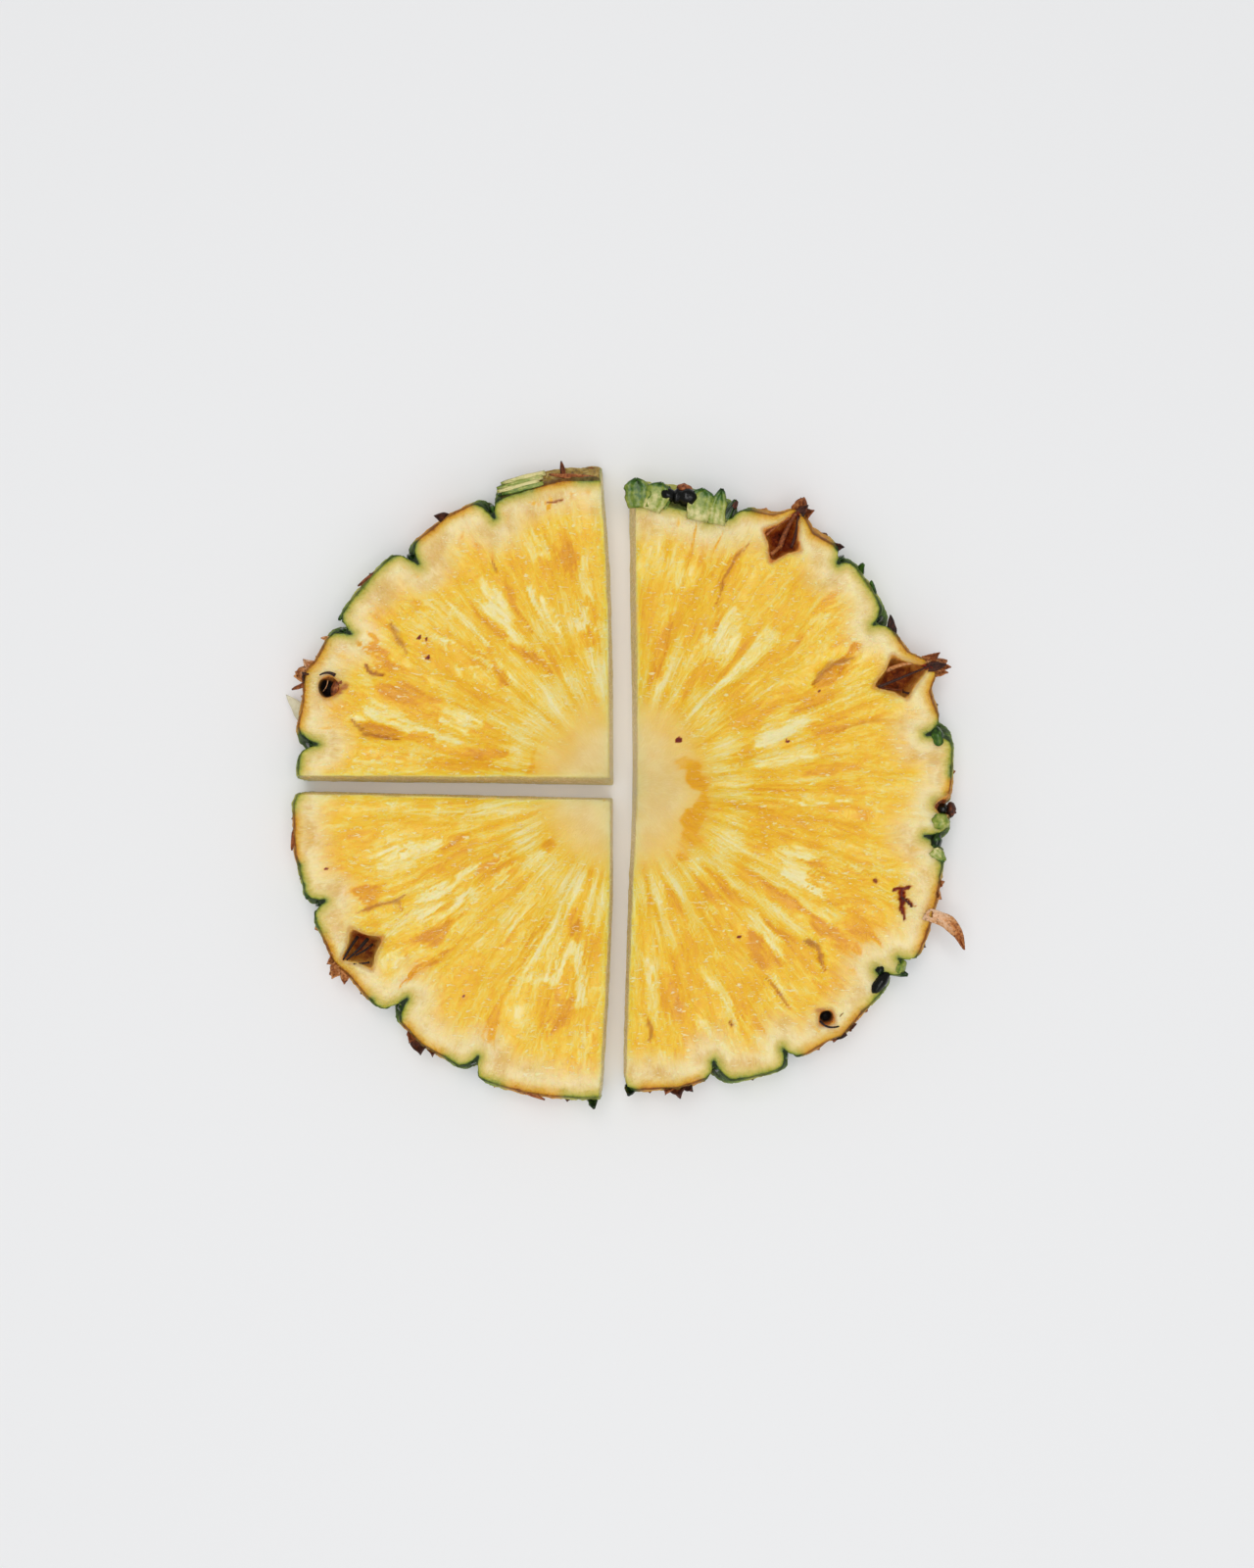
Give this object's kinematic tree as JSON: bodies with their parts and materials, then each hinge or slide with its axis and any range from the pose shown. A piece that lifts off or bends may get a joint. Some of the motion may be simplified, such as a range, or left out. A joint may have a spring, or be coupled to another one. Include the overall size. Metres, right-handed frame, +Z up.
{
  "type": "pineapple slice",
  "caption": "Round slice of fresh pineapple with rind and core, cut into wedges that lie together with narrow knife gaps.",
  "frame": {"origin": "middle of the whole slice's box, on the underside", "axes": "+X from the quarters towards the half, +Y along the half's cut edge towards the upper quarter, +Z up through the top cut face"},
  "size_m": [0.1218, 0.1172, 0.012],
  "materials": {
    "flesh": "wet yellow fruit flesh, paler at the core and under the rind",
    "rind": "orange and green fruit rind, dark in the furrows",
    "bract": "dry brown bracts and dark eye pits"
  },
  "bodies": {
    "root": {"half": "flesh", "quarter_upper": "flesh", "quarter_lower": "flesh"}
  },
  "joints": []
}
